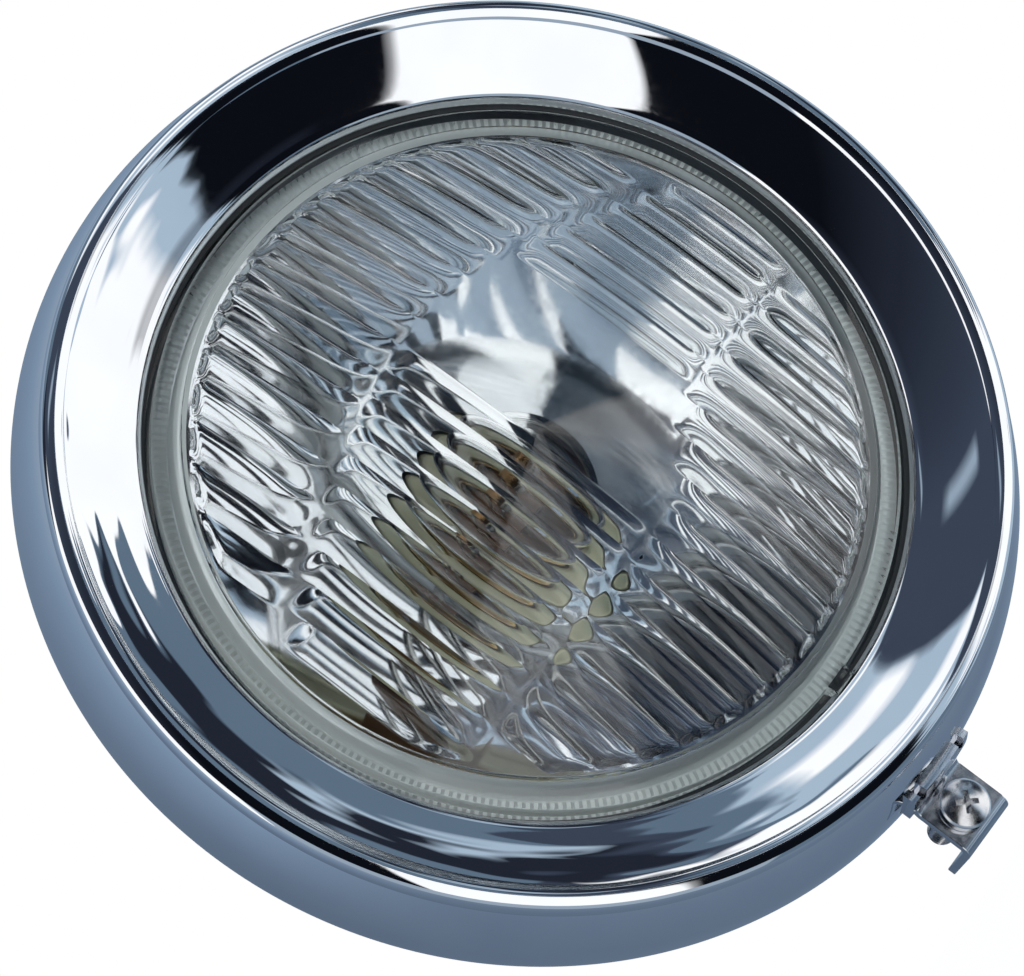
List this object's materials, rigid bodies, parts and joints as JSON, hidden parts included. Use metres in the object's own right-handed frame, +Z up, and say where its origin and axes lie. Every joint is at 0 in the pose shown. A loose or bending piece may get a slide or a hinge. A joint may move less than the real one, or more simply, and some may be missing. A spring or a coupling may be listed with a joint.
{
  "type": "motorcycle headlight",
  "caption": "Round motorcycle headlight insert with a chromed rim, fluted glass, reflector, bulb in a sprung holder, and a screw tab.",
  "frame": {"origin": "centre of the rim's rear edge, which seats on the lamp shell", "axes": "+Y backwards along the lamp's axis, so the light leaves along -Y; +Z up, with the fixing tab at the bottom"},
  "size_m": [0.14, 0.0872, 0.1506],
  "materials": {
    "chromed_rim": "bright chrome plate on pressed steel",
    "chromed_tab": "bright chrome plate",
    "plated_screw": "bright zinc plate",
    "lens_glass": "pressed clear glass, faintly green",
    "gasket_rubber": "matte black",
    "silvered_reflector": "aluminised and lacquered",
    "spring_steel": "oiled spring steel",
    "passivated_steel": "yellow passivated zinc",
    "terminal_brass": "bare brass",
    "bulb_glass": "clear blown glass",
    "stem_glass": "clear lead glass",
    "lead_wire": "bright nickel wire",
    "tungsten": "drawn tungsten",
    "shield_metal": "heat-tinted metal",
    "cap_brass": "drawn brass",
    "cap_vitrite": "black opaque glass",
    "contact_solder": "dull solder",
    "phenolic": "brown laminated phenolic"
  },
  "bodies": {
    "root": {"rim": "chromed_rim", "rim_tab": "chromed_tab", "rim_screw": "plated_screw", "screw_washer": "plated_screw", "top_hook": "chromed_tab", "lens": "lens_glass", "lens_gasket": "gasket_rubber", "reflector": "silvered_reflector", "retaining_clips": "spring_steel", "bulb_holder": "passivated_steel", "holder_clips": "spring_steel", "earth_blade": "terminal_brass", "bulb_glass": "bulb_glass", "bulb_stem": "stem_glass", "lead_wires": "lead_wire", "main_filament": "tungsten", "dip_filament": "tungsten", "dip_shield": "shield_metal", "bulb_cap": "cap_brass", "cap_insulator": "cap_vitrite", "cap_contacts": "contact_solder", "contact_carrier": "phenolic", "contact_plungers": "terminal_brass", "contact_springs": "spring_steel", "terminal_blades": "terminal_brass"}
  },
  "joints": []
}
